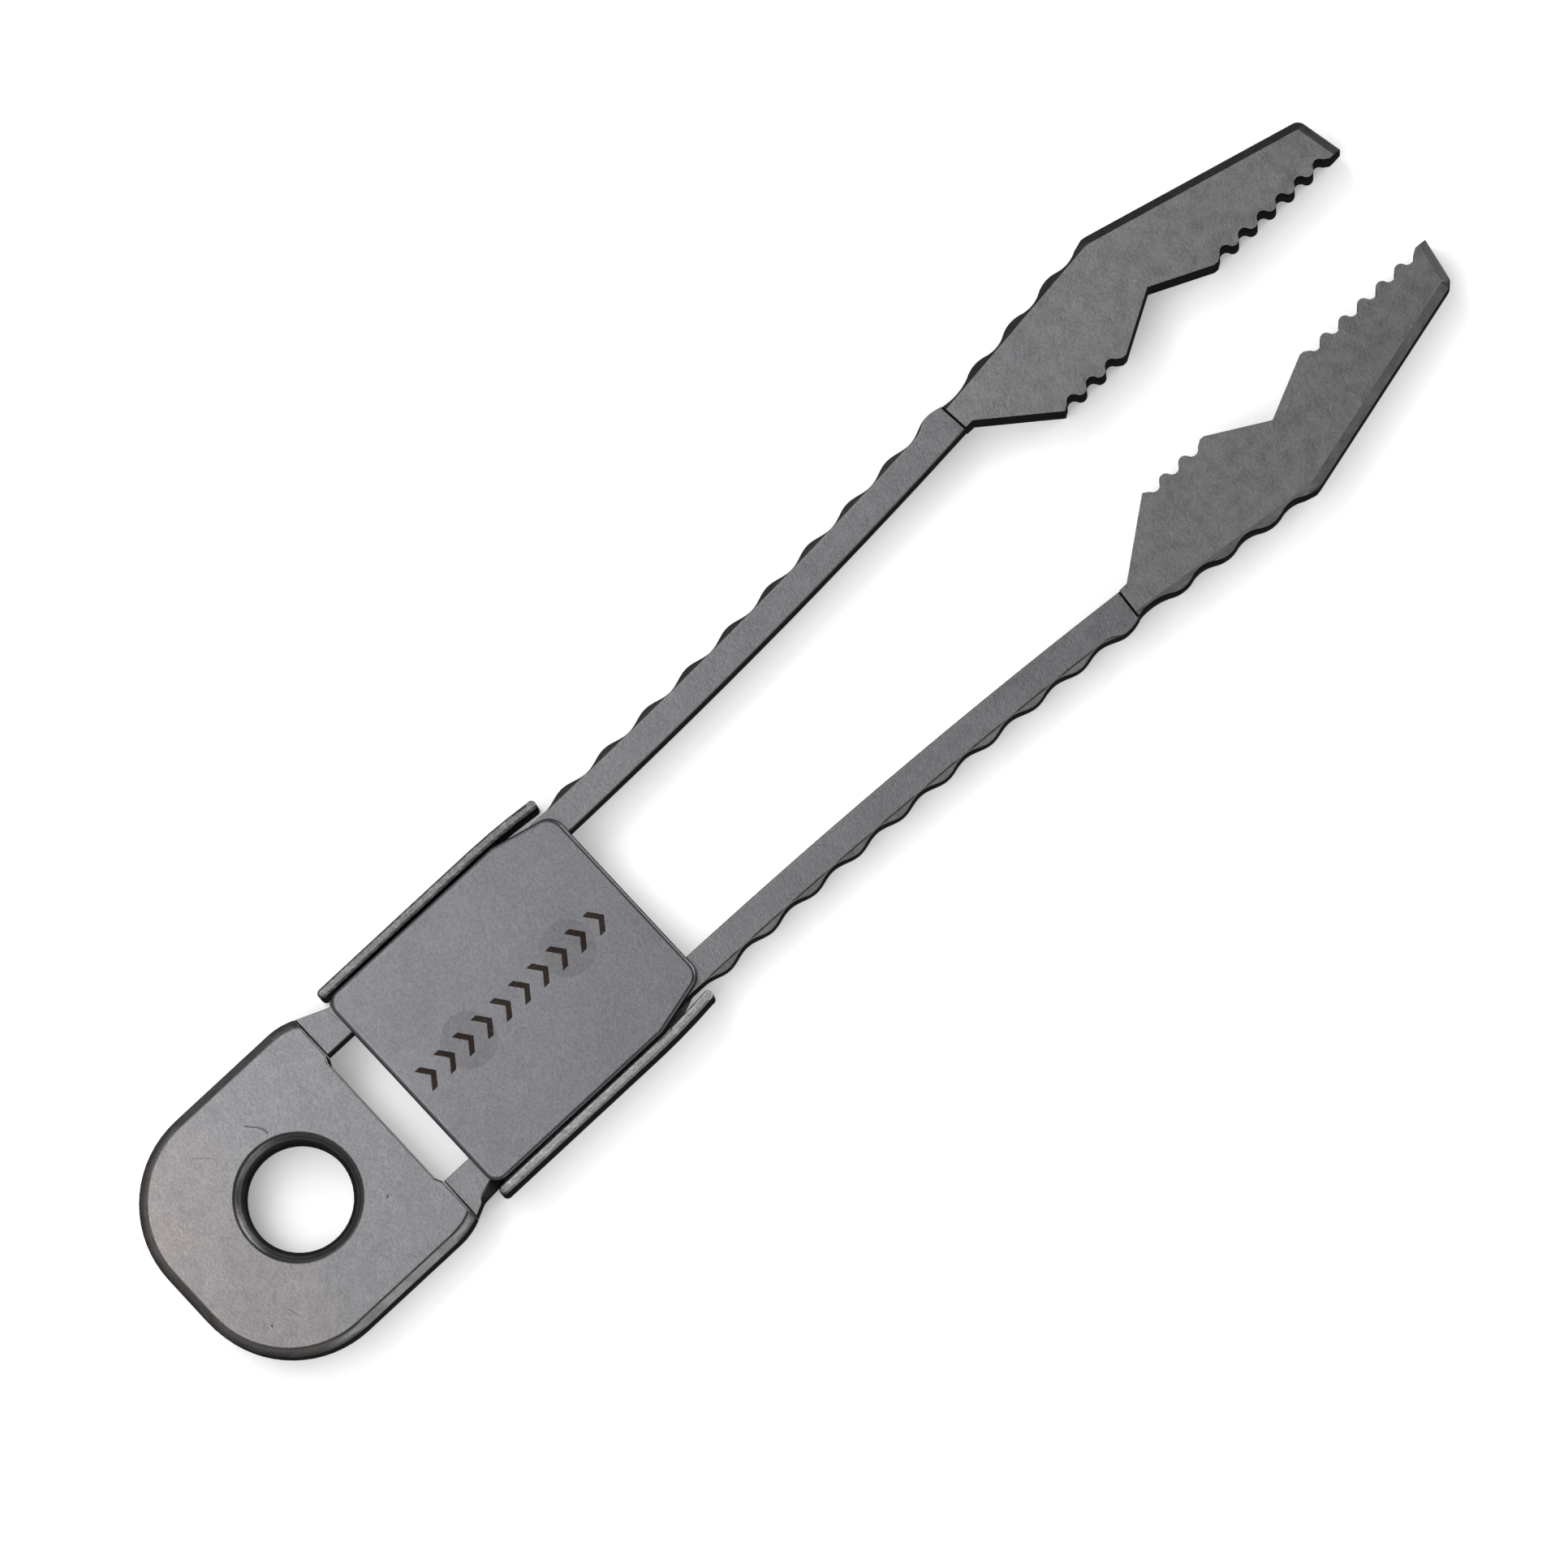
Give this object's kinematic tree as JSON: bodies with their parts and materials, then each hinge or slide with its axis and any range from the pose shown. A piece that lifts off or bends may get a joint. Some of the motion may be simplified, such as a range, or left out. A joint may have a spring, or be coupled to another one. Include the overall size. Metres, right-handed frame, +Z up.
{
  "type": "keychain gripping tongs",
  "caption": "Small sprung metal tongs with toothed plier jaws, a keyring hole in the handle plate and a collar that slides along the arms to close and hold the jaws.",
  "frame": {"origin": "centre of the keyring hole at half the thickness of the handle plate", "axes": "+X forward from the keyring hole to the jaws, +Y towards the left arm, +Z up through the collar's cover, along the keyring hole"},
  "size_m": [0.0668, 0.0142, 0.0024],
  "materials": {
    "tongs_steel": "stonewashed matt dark grey",
    "collar_steel": "bead-blasted matt dark grey",
    "post_steel": "ground flush and bead-blasted"
  },
  "bodies": {
    "handle": {"handle": "tongs_steel"},
    "collar": {"collar_channel": "collar_steel", "collar_cover": "collar_steel", "rear_post": "post_steel", "front_post": "post_steel"},
    "left_arm_root": {"left_arm_root": "tongs_steel"},
    "left_spring_arm": {"left_spring_arm": "tongs_steel", "left_jaw": "tongs_steel"},
    "right_arm_root": {"right_arm_root": "tongs_steel"},
    "right_spring_arm": {"right_spring_arm": "tongs_steel", "right_jaw": "tongs_steel"}
  },
  "joints": [
    {"name": "collar_slide", "type": "slide", "parent": "handle", "child": "collar", "axis": [1, 0, 0], "range_m": [-0.0007, 0.023]},
    {"name": "left_arm_flex", "type": "hinge", "parent": "handle", "child": "left_arm_root", "pos_m": [0.00479, 0.0045, 0], "axis": [0, 0, -1], "range_deg": [-0.06, 1.73]},
    {"name": "left_arm_squeeze", "type": "hinge", "parent": "left_arm_root", "child": "left_spring_arm", "pos_m": [0.0185, 0.00416, 0], "axis": [0, 0, -1], "range_deg": [0, 1.15], "stiffness_Nm_per_rad": 5.4},
    {"name": "right_arm_flex", "type": "hinge", "parent": "handle", "child": "right_arm_root", "pos_m": [0.00479, -0.0045, 0], "axis": [0, 0, 1], "range_deg": [-0.06, 1.73]},
    {"name": "right_arm_squeeze", "type": "hinge", "parent": "right_arm_root", "child": "right_spring_arm", "pos_m": [0.0185, -0.00416, 0], "axis": [0, 0, 1], "range_deg": [0, 1.15], "stiffness_Nm_per_rad": 5.4}
  ],
  "couplings": [
    {"joint": "left_arm_flex", "follows": "collar_slide", "rad_per_m": 1.3043},
    {"joint": "right_arm_flex", "follows": "collar_slide", "rad_per_m": 1.3043}
  ]
}
